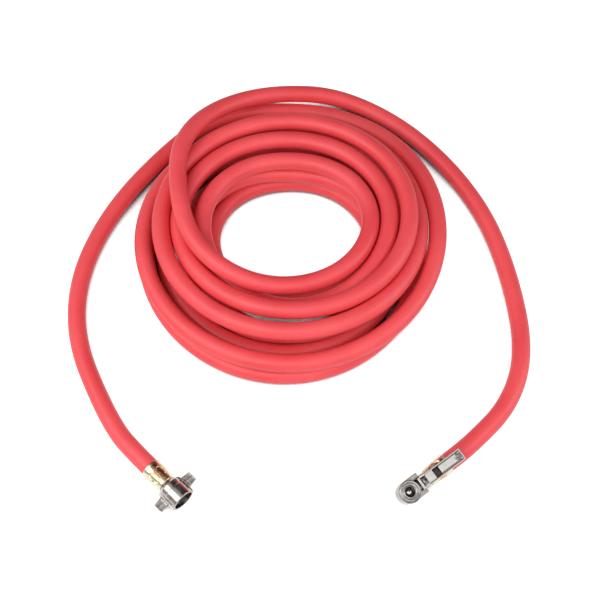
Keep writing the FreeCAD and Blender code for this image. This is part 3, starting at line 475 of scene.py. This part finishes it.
# Turned steel under nickel: grey mirror with faint clouds 4 mm across, crossed by fine tool marks, which run
# round the piece. Real marks are 0.1 to 0.2 mm apart, and these are drawn coarse enough to show.
def turned_metal(name, colour, axis_frame, pitch):
    """Material with tool marks round an axis, a pitch in millimetres apart."""
    made, tree = new_material(name)
    place = add_node(tree, "ShaderNodeTexCoord").outputs["Object"]
    marks = add_node(
        tree, "ShaderNodeTexWave",
        {"Scale": WAVE_PERIOD / (pitch * MM), "Distortion": 0.8, "Detail": 2.0, "Detail Scale": 2.0},
        {"Vector": centred_on(tree, place, axis_frame)}, wave_type="RINGS", rings_direction="X",
    )
    cloud = add_node(tree, "ShaderNodeTexNoise", {"Scale": 0.26 / MM, "Detail": 3.0}, {"Vector": place})
    tone = add_node(tree, "ShaderNodeValToRGB", links={"Fac": cloud.outputs["Fac"]})
    tone.color_ramp.elements[0].position = 0.3
    tone.color_ramp.elements[0].color = linear(colour[0])
    tone.color_ramp.elements[1].position = 0.7
    tone.color_ramp.elements[1].color = linear(colour[1])
    dull = add_node(
        tree, "ShaderNodeMapRange",
        {"From Min": 0.0, "From Max": 1.0, "To Min": 0.24, "To Max": 0.4}, {"Value": marks.outputs["Fac"]},
    )
    cut = add_node(
        tree, "ShaderNodeBump", {"Strength": 0.35, "Distance": 0.00008}, {"Height": marks.outputs["Fac"]},
    )
    shader = add_node(tree, "ShaderNodeBsdfPrincipled", {"Metallic": 1.0}, {
        "Base Color": tone.outputs["Color"], "Roughness": dull.outputs["Result"],
        "Normal": cut.outputs["Normal"],
    })
    finish_material(tree, shader)
    return made


stem_metal = turned_metal("turned_nickel_plated_stem", ("#8f8a86", "#b4afaa"), nut_frame, pitch=0.8)
stem = cad_copy("turned_hose_stem", "nut_stem", nut_frame)
broken_edges(stem, 0.2)
set_in_place(stem, nut_frame, stem_metal)
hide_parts("nut_stem")
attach(stem, "hose_line")

# Moulded nitrile rubber, black: matte, with a faint grey bloom in specks of 2 or 3 mm.
black, tree = new_material("moulded_black_nitrile")
place = add_node(tree, "ShaderNodeTexCoord").outputs["Object"]
bloom = add_node(tree, "ShaderNodeTexNoise", {"Scale": 0.4 / MM, "Detail": 3.0}, {"Vector": place})
tint = add_node(tree, "ShaderNodeValToRGB", links={"Fac": bloom.outputs["Fac"]})
tint.color_ramp.elements[0].color = linear("#141413")
tint.color_ramp.elements[1].color = linear("#2b2a29")
skin = add_node(
    tree, "ShaderNodeBump", {"Strength": 0.1, "Distance": 0.0001}, {"Height": bloom.outputs["Fac"]},
)
shader = add_node(
    tree, "ShaderNodeBsdfPrincipled", {"Roughness": 0.62},
    {"Base Color": tint.outputs["Color"], "Normal": skin.outputs["Normal"]},
)
finish_material(tree, shader)

# Sealing ring of the nut end. A flat nitrile ring stretched over the stem's nose, pressed by the male thread.
ring = cad_copy("nut_sealing_ring", "nut_seal_ring", nut_frame)
broken_edges(ring, 0.25)
set_in_place(ring, nut_frame, black)
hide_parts("nut_seal_ring")
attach(ring, "hose_line")


# Wing nut. Pressure die cast in zinc alloy, tumbled and nickel plated: a barrel with a step, a web along
# each side, and two tapered wings with a rib between sunk panels. Its mouth is threaded M22 x 1.5.
THREAD = {"Turns": 6.8, "Radius": 10.32, "Pitch": 1.5, "Crest": 0.62}
THREAD_START = 36.9
# Radii over which the painted shade in the nut's bore fades out, and the depth past which the bore is shaded
SHADED_BORE_RADIUS = 10.4
UNSHADED_WALL_RADIUS = 10.7
CHAMBER_END = 28.0


def cast_edges(piece, grain, passes):
    """Rounds every edge of a piece as a casting's are: a fine voxel mesh that is then smoothed."""
    voxels = piece.modifiers.new("voxels", "REMESH")
    voxels.mode = "VOXEL"
    voxels.voxel_size = grain
    rounding = piece.modifiers.new("rounding", "SMOOTH")
    rounding.factor = 0.5
    rounding.iterations = passes
    apply_modifiers(piece)


# Bright nickel over die-cast zinc: a mirror with an orange peel 2 mm across, a warm grey cast and duller
# clouds of 8 mm. Painted shade darkens the threaded bore of the nut.
nickel, tree = new_material("nickel_plated_die_casting")
place = add_node(tree, "ShaderNodeTexCoord").outputs["Object"]
skin = add_node(tree, "ShaderNodeTexNoise", {"Scale": 0.45 / MM, "Detail": 3.0}, {"Vector": place})
cloud = add_node(tree, "ShaderNodeTexNoise", {"Scale": 0.12 / MM, "Detail": 3.0}, {"Vector": place})
tone = add_node(tree, "ShaderNodeValToRGB", links={"Fac": cloud.outputs["Fac"]})
tone.color_ramp.elements[0].position = 0.3
tone.color_ramp.elements[0].color = linear("#a39b96")
tone.color_ramp.elements[1].position = 0.7
tone.color_ramp.elements[1].color = linear("#cdc7c2")
dull = add_node(
    tree, "ShaderNodeMapRange",
    {"From Min": 0.35, "From Max": 0.65, "To Min": 0.13, "To Max": 0.26}, {"Value": cloud.outputs["Fac"]},
)
peel = add_node(
    tree, "ShaderNodeBump", {"Strength": 0.2, "Distance": 0.00012}, {"Height": skin.outputs["Fac"]},
)
# Painted shade: the bore deep in the nut's mouth is darkened, as a recess in shade is.
x, y, z = add_node(tree, "ShaderNodeSeparateXYZ", links={0: centred_on(tree, place, nut_frame)}).outputs
in_bore = add_node(tree, "ShaderNodeMapRange", {
    "From Min": SHADED_BORE_RADIUS * MM, "From Max": UNSHADED_WALL_RADIUS * MM, "To Min": 1.0, "To Max": 0.0,
}, {"Value": hypotenuse(tree, y, z)})
in_mouth = worked(tree, "GREATER_THAN", x, CHAMBER_END * MM)
painted_shade = add_node(tree, "ShaderNodeMixRGB", {"Color2": linear("#4f4743")}, {
    "Fac": worked(tree, "MULTIPLY", in_bore.outputs["Result"], in_mouth), "Color1": tone.outputs["Color"],
})
shader = add_node(tree, "ShaderNodeBsdfPrincipled", {"Metallic": 1.0}, {
    "Base Color": painted_shade.outputs["Color"], "Roughness": dull.outputs["Result"],
    "Normal": peel.outputs["Normal"],
})
finish_material(tree, shader)

# Thread: a triangular bead wound round the axis inside the mouth, one pitch a turn.
threading = bpy.data.node_groups.new("thread", "GeometryNodeTree")
threading.interface.new_socket("Blank", in_out="INPUT", socket_type="NodeSocketGeometry")
for label in THREAD:
    threading.interface.new_socket(label, in_out="INPUT", socket_type="NodeSocketFloat")
threading.interface.new_socket("Finish", in_out="INPUT", socket_type="NodeSocketMaterial")
threading.interface.new_socket("Thread", in_out="OUTPUT", socket_type="NodeSocketGeometry")
given = add_node(threading, "NodeGroupInput").outputs
helix = add_node(threading, "GeometryNodeCurveSpiral", {"Resolution": 72}, {
    "Rotations": given["Turns"], "Start Radius": given["Radius"], "End Radius": given["Radius"],
    "Height": worked(threading, "MULTIPLY", given["Turns"], given["Pitch"]),
})
bead = add_node(threading, "GeometryNodeCurvePrimitiveCircle", {"Resolution": 3}, {"Radius": given["Crest"]})
wound = add_node(threading, "GeometryNodeCurveToMesh", {"Fill Caps": True}, {
    "Curve": helix.outputs[0], "Profile Curve": bead.outputs[0],
})
real = add_node(threading, "GeometryNodeRealizeInstances", links={0: wound.outputs[0]})
coated = add_node(threading, "GeometryNodeSetMaterial", links={
    "Geometry": real.outputs[0], "Material": given["Finish"],
})
add_node(threading, "NodeGroupOutput", links={0: coated.outputs[0]})

wing_nut = cad_copy("cast_wing_nut", "wing_nut", nut_frame, dissolve=0)
cast_edges(wing_nut, grain=0.26, passes=5)
set_in_place(wing_nut, nut_frame, nickel, sharp=60)
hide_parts("wing_nut")
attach(wing_nut, "wing_nut")

thread = bpy.data.objects.new("wing_nut_thread", bpy.data.meshes.new("wing_nut_thread"))
scene.collection.objects.link(thread)
add_inputs(thread, "threading", threading, THREAD | {"Finish": nickel})
apply_modifiers(thread)
thread.data.transform(Matrix.Translation((THREAD_START, 0, 0)) @ Matrix.Rotation(math.pi / 2, 4, "Y"))
set_in_place(thread, nut_frame, nickel)
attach(thread, "wing_nut")


# Chuck body. Pressure die cast in one piece with its barbed shank, then nickel plated: a round head for the
# valve, a neck block with two ears for the lever's pin, and an air way through to the hose.
body = cad_copy("cast_chuck_body", "chuck_body", chuck_frame, dissolve=0)
cast_edges(body, grain=0.28, passes=4)
set_in_place(body, chuck_frame, nickel, sharp=60)
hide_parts("chuck_body")
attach(body, "hose_line")


# Valve washer. A moulded nitrile washer in the head, which the end of the tyre's valve is pushed against.
washer = cad_copy("chuck_valve_washer", "valve_washer", chuck_frame)
broken_edges(washer, 0.3)
set_in_place(washer, chuck_frame, black)
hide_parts("valve_washer")
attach(washer, "hose_line")


# Poppet. A turned pin with a domed tip that opens the tyre's valve, on a flange that carries a rubber ring
# and sits on a light spring, so that the hose keeps its air when no valve is fitted.
DOME_RADIUS = 4.1
DOME_SPREAD = 45
DOME_STEP = 5
POPPET_TIP = 6.0

dome = [
    (POPPET_TIP - DOME_RADIUS * (1 - math.cos(a)), DOME_RADIUS * math.sin(a))
    for a in map(math.radians, range(DOME_SPREAD, 0, -DOME_STEP))
]
face_frame = chuck_frame @ Matrix.Rotation(-math.pi / 2, 4, "Y")
chuck_metal = turned_metal("turned_nickel_plated_cap", ("#88837f", "#b2ada9"), face_frame, pitch=1.1)
poppet = turned("domed_poppet", [
    (-6.8, 0), (-6.8, 0.9), (-6.6, 1.1), (-1.8, 1.1), (-1.8, 3.7), (-1.6, 3.9), (-1.0, 3.9), (-0.8, 3.7),
    (-0.8, 1.8), (2.2, 1.8), (2.7, 2.6), (3.0, 2.9),
] + dome + [(POPPET_TIP, 0)], around=64)


def hard_steel(name, grain, detail, tones, gloss):
    """Material of hard steel, whose tone and gloss drift with so many grains to the millimetre."""
    made, tree = new_material(name)
    place = add_node(tree, "ShaderNodeTexCoord").outputs["Object"]
    haze = add_node(tree, "ShaderNodeTexNoise", {"Scale": grain / MM, "Detail": detail}, {"Vector": place})
    tone = add_node(tree, "ShaderNodeValToRGB", links={"Fac": haze.outputs["Fac"]})
    for stop, colour in zip(tone.color_ramp.elements, tones):
        stop.color = linear(colour)
    dull = add_node(
        tree, "ShaderNodeMapRange",
        {"From Min": 0.3, "From Max": 0.7, "To Min": gloss[0], "To Max": gloss[1]},
        {"Value": haze.outputs["Fac"]},
    )
    shader = add_node(
        tree, "ShaderNodeBsdfPrincipled", {"Metallic": 1.0},
        {"Base Color": tone.outputs["Color"], "Roughness": dull.outputs["Result"]},
    )
    finish_material(tree, shader)
    return made


# Polished hard steel: the brightest metal here, nearly white, with a fine haze from use.
bright_steel = hard_steel("polished_steel_pin", 0.7, 3.0, ("#b9b4b0", "#dedbd8"), gloss=(0.1, 0.22))
set_in_place(poppet, face_frame, bright_steel)
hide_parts("valve_poppet")
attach(poppet, "poppet")


# Seal and carrier of the poppet. A nitrile ring on its flange, and the turned seat with air holes that its
# spring stands on. Both keep the shape of the CAD.
def coat(node, material):
    """Gives a CAD node whose shape is right a material."""
    nodes[node].data.materials.clear()
    nodes[node].data.materials.append(material)


coat("poppet_seal", black)
coat("poppet_carrier", chuck_metal)


# Cap. Turned from steel and nickel plated, screwed down on the washer: the round face of the chuck, with a
# chamfered rim, shallow tool grooves and the hole for the valve. Its sleeve has a window for the claw.
FACE = 9.0
GROOVES_OUTSIDE = 10.2
GROOVE_COUNT = 2
GROOVE_PITCH = 2.4
GROOVE_DEPTH = 0.28
GROOVE_STEP = 0.12
WINDOW_MIDDLE = Vector((5.0, 0, -5.9))
WINDOW_SIZE = Vector((4.0, 8.0, 6.8))

groove_steps = round(GROOVE_COUNT * GROOVE_PITCH / GROOVE_STEP) + 1
grooves = [
    (FACE - GROOVE_DEPTH / 2 * (1 - math.cos(2 * math.pi * (GROOVES_OUTSIDE - r) / GROOVE_PITCH)), r)
    for r in (GROOVES_OUTSIDE - GROOVE_STEP * i for i in range(groove_steps))
]
cap = turned("turned_chuck_cap", [
    (2.6, 5.5), (2.6, 7.0), (7.0, 7.0), (7.0, 11.0), (7.2, 11.2), (8.2, 11.2), (8.45, 11.1), (8.9, 10.65),
    (9.0, 10.4),
] + grooves + [(8.95, 5.35), (8.7, 5.1), (8.4, 5.0), (7.0, 5.0), (7.0, 5.5)], around=160)
cutter_mesh = bpy.data.meshes.new("claw_window")
opening = bmesh.new()
bmesh.ops.create_cube(opening, size=1.0, matrix=Matrix.LocRotScale(WINDOW_MIDDLE, None, WINDOW_SIZE))
opening.to_mesh(cutter_mesh)
opening.free()
cutter = bpy.data.objects.new("claw_window", cutter_mesh)
scene.collection.objects.link(cutter)
window = cap.modifiers.new("claw_window", "BOOLEAN")
window.object = cutter
window.solver = "EXACT"
apply_modifiers(cap)
bpy.data.objects.remove(cutter)
set_in_place(cap, face_frame, chuck_metal, sharp=40)
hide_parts("seal_cap")
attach(cap, "hose_line")


# Pivot pin. A plain steel pin pressed through the two ears, its ends a little sunk and spread by a punch.
pin_frame = chuck_frame @ Matrix.Translation(LEVER_PIVOT) @ Matrix.Rotation(math.pi / 2, 4, "Z")
pin = turned("pressed_lever_pin", [
    (-10.7, 0), (-10.5, 0.5), (-10.7, 0.75), (-10.6, 1.2), (-10.4, 1.4), (10.4, 1.4), (10.6, 1.2),
    (10.7, 0.75), (10.5, 0.5), (10.7, 0),
], around=48)
set_in_place(pin, pin_frame, bright_steel)
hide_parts("lever_pin")
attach(pin, "hose_line")


# Claw. Blanked from hardened steel and oiled black; its blade bites the valve's thread when the lever rises.
# The oil black has worn to a dark brownish grey, in scale marks of 2 mm, with a dull sheen.
spring_steel = hard_steel("oil_blackened_spring_steel", 0.5, 4.0, ("#4c4845", "#75706c"), gloss=(0.3, 0.45))
claw = cad_copy("hardened_claw", "clip_claw", chuck_frame)
broken_edges(claw, 0.15)
set_in_place(claw, chuck_frame, spring_steel)
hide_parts("clip_claw")
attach(claw, "lever")


# Springs. Hard-drawn steel wire: a compression spring under the poppet, which shortens as its pin is pushed
# in, and a torsion spring wound on the pivot pin, whose long leg lifts the lever.
poppet_spring = cad_copy("poppet_return_spring", "poppet_spring", chuck_frame, dissolve=0)
lever_spring = cad_copy("lever_torsion_spring", "lever_spring", chuck_frame, dissolve=0)
for spring, node in ((poppet_spring, "poppet_spring"), (lever_spring, "lever_spring")):
    set_in_place(spring, chuck_frame, spring_steel)
    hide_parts(node)
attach(poppet_spring, "hose_line")
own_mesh(poppet_spring)
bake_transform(lever_spring)


# Clip lever. Pressed from 1.2 mm steel sheet and bright nickel plated: two sides with eyes on the pin, a
# front bar over the claw, a bridge, a window and a tray for the thumb.
TRAY_ENDS = (37.3, 62.6)
TRAY_HALF = 5.0
TRAY_FOOT = 11.7
TRAY_CREST = 13.4
TRAY_BEND = 1.7

# Bright nickel over rolled sheet: a soft mirror, a little uneven in clouds of 6 mm.
bright, tree = new_material("bright_nickel_pressed_steel")
place = add_node(tree, "ShaderNodeTexCoord").outputs["Object"]
haze = add_node(tree, "ShaderNodeTexNoise", {"Scale": 0.16 / MM, "Detail": 4.0}, {"Vector": place})
tone = add_node(tree, "ShaderNodeValToRGB", links={"Fac": haze.outputs["Fac"]})
tone.color_ramp.elements[0].position = 0.3
tone.color_ramp.elements[0].color = linear("#a5a19e")
tone.color_ramp.elements[1].position = 0.7
tone.color_ramp.elements[1].color = linear("#bab7b4")
dull = add_node(
    tree, "ShaderNodeMapRange",
    {"From Min": 0.3, "From Max": 0.7, "To Min": 0.12, "To Max": 0.24}, {"Value": haze.outputs["Fac"]},
)
rolled = add_node(
    tree, "ShaderNodeBump", {"Strength": 0.1, "Distance": 0.00004}, {"Height": haze.outputs["Fac"]},
)
shader = add_node(tree, "ShaderNodeBsdfPrincipled", {"Metallic": 1.0}, {
    "Base Color": tone.outputs["Color"], "Roughness": dull.outputs["Result"],
    "Normal": rolled.outputs["Normal"],
})
finish_material(tree, shader)


def bend_section(edge):
    """Triangle across a bend of the tray, as (distance, height), from the place of the rim."""
    return (edge, TRAY_FOOT), (edge - TRAY_BEND, TRAY_FOOT), (edge, TRAY_CREST)


# The sheet turns up into the tray's rims through a bend, which slopes across the corners inside
corners = [
    [(x, side * y, z) for x in TRAY_ENDS for y, z in bend_section(TRAY_HALF)]
    for side in (-1, 1)
]
corners.append([(x, y, z) for y in (-TRAY_HALF, TRAY_HALF) for x, z in bend_section(TRAY_ENDS[1])])
lever = cad_copy("pressed_clip_lever", "clip_lever", lever_frame, dissolve=0)
bends = bmesh.new()
bends.from_mesh(lever.data)
for corner in corners:
    bmesh.ops.convex_hull(bends, input=[bends.verts.new(spot) for spot in corner])
bends.to_mesh(lever.data)
bends.free()
cast_edges(lever, grain=0.2, passes=6)
set_in_place(lever, lever_frame, bright, sharp=60)
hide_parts("clip_lever")
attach(lever, "lever")


# Lever rivet. A semi-tubular steel rivet through the tray, its rim spread into a ring round a hollow.
RIVET_ALONG = 58.5

rivet_frame = lever_frame @ Matrix.Translation((RIVET_ALONG, 0, 0)) @ Matrix.Rotation(-math.pi / 2, 4, "Y")
rivet = turned("tray_rivet", [
    (10.65, 0), (10.65, 1.4), (11.85, 1.4), (11.85, 3.2), (12.1, 3.25), (12.4, 3.1), (12.7, 2.6), (12.8, 2.1),
    (12.7, 1.7), (12.4, 1.5), (12.0, 1.35), (11.9, 1.1), (11.9, 0),
], around=64)
rivet_metal = turned_metal("spread_steel_rivet", ("#7d7874", "#a19c98"), rivet_frame, pitch=1.2)
set_in_place(rivet, rivet_frame, rivet_metal)
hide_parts("lever_rivet")
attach(rivet, "lever")


# Floor. A white sheet with a painted glow: it glows white where ambient occlusion finds open air, so that
# hardly a shadow shows on it. Camera rays see the whole glow and reflections a share of it. In narrow gaps
# between the strands painted shade darkens it.
FLOOR_HALF = 6
SHADE_REACH = 0.035
MIRRORED_SHARE = 0.4

floor_mesh = bpy.data.meshes.new("floor_with_painted_glow")
sheet = [(x * FLOOR_HALF, y * FLOOR_HALF, 0) for x, y in ((-1, -1), (1, -1), (1, 1), (-1, 1))]
floor_mesh.from_pydata(sheet, [], [(0, 1, 2, 3)])
floor = bpy.data.objects.new("floor_with_painted_glow", floor_mesh)
scene.collection.objects.link(floor)
opal, tree = new_material("white_floor_painted_glow_and_shade")
open_air = add_node(tree, "ShaderNodeAmbientOcclusion", {"Distance": SHADE_REACH}, samples=8)
# Painted shade: the floor's colour goes dark red-brown in narrow gaps, where ambient occlusion finds little
# open air.
gap = add_node(
    tree, "ShaderNodeMapRange", {"From Min": 0.2, "From Max": 0.45}, {"Value": open_air.outputs["AO"]},
)
shade = add_node(tree, "ShaderNodeMixRGB", {"Color1": linear("#241414"), "Color2": linear("#e0e0e0")}, {
    "Fac": gap.outputs["Result"],
})
# Painted glow: white emission where ambient occlusion finds open air. It is not a lamp's light.
glow = add_node(
    tree, "ShaderNodeMapRange", {"From Min": 0.27, "From Max": 0.52, "To Min": 0.0, "To Max": 0.8},
    {"Value": open_air.outputs["AO"]}, interpolation_type="SMOOTHSTEP",
)
sight = add_node(tree, "ShaderNodeLightPath")
in_sight = worked(
    tree, "MULTIPLY_ADD", sight.outputs["Is Glossy Ray"], MIRRORED_SHARE, sight.outputs["Is Camera Ray"],
)
seen = worked(tree, "MULTIPLY", glow.outputs["Result"], in_sight)
shader = add_node(
    tree, "ShaderNodeBsdfPrincipled",
    {"Roughness": 0.9, "Emission Color": (1, 1, 1, 1)},
    {"Base Color": shade.outputs["Color"], "Emission Strength": seen},
)
finish_material(tree, shader)
floor_mesh.materials.append(opal)


# Light. A large softbox stands over the left, lined up with the wing nut, a wide weak one in front and a
# small one at the right. The dim room is darkest low behind the pile, and its ceiling is a little lighter.
ROOM = 0.4
DARK_CORNER = 0.15 * ROOM
CEILING = 0.15

world = bpy.data.worlds.new("studio")
world.use_nodes = True
tree = world.node_tree
tree.nodes.clear()
view = add_node(tree, "ShaderNodeTexCoord").outputs["Generated"]


def room_zone(toward, start, end, low, high):
    """Strength that eases from low to high as the view comes near a direction, by its cosine."""
    nearness = add_node(
        tree, "ShaderNodeVectorMath", {1: Vector(toward).normalized()}, {0: view}, operation="DOT_PRODUCT",
    )
    return add_node(
        tree, "ShaderNodeMapRange", {"From Min": start, "From Max": end, "To Min": low, "To Max": high},
        {"Value": nearness.outputs["Value"]}, interpolation_type="SMOOTHSTEP",
    ).outputs[0]


dark = room_zone((0.3, 0.84, 0.45), start=0.66, end=0.86, low=ROOM, high=DARK_CORNER)
ceiling = room_zone((-0.12, 0.25, 0.96), start=0.94, end=0.985, low=0.0, high=CEILING)
sky = add_node(
    tree, "ShaderNodeBackground", {"Color": (1, 1, 1, 1)}, {"Strength": worked(tree, "ADD", dark, ceiling)},
)
add_node(tree, "ShaderNodeOutputWorld", links={"Surface": sky.outputs[0]})
scene.world = world


def softbox(name, place, aim, along, width, depth, power):
    """Rectangular area light at a place, which faces the aim and has its width along a direction."""
    data = bpy.data.lights.new(name, "AREA")
    data.shape = "RECTANGLE"
    data.size, data.size_y, data.energy = width, depth, power
    made = bpy.data.objects.new(name, data)
    scene.collection.objects.link(made)
    back = (Vector(place) - Vector(aim)).normalized()
    side = (along - along.dot(back) * back).normalized()
    made.location = place
    made.rotation_euler = Matrix((side, back.cross(side), back)).transposed().to_euler()


softbox(
    "left_softbox", place=(-0.86, -0.45, 1.05), aim=(-0.12, -0.2, 0), along=NUT_AXIS,
    width=1.3, depth=1.0, power=11.5,
)
softbox(
    "front_softbox", place=(0.13, -0.8, 1.01), aim=(0, 0, 0), along=Vector((1, 0, 0)),
    width=1.6, depth=1.0, power=6.5,
)
softbox(
    "right_softbox", place=(1.17, -0.13, 0.55), aim=(0, 0, 0), along=Vector((0, 1, 0)),
    width=0.5, depth=0.9, power=4.4,
)
scene.view_settings.view_transform = "Standard"
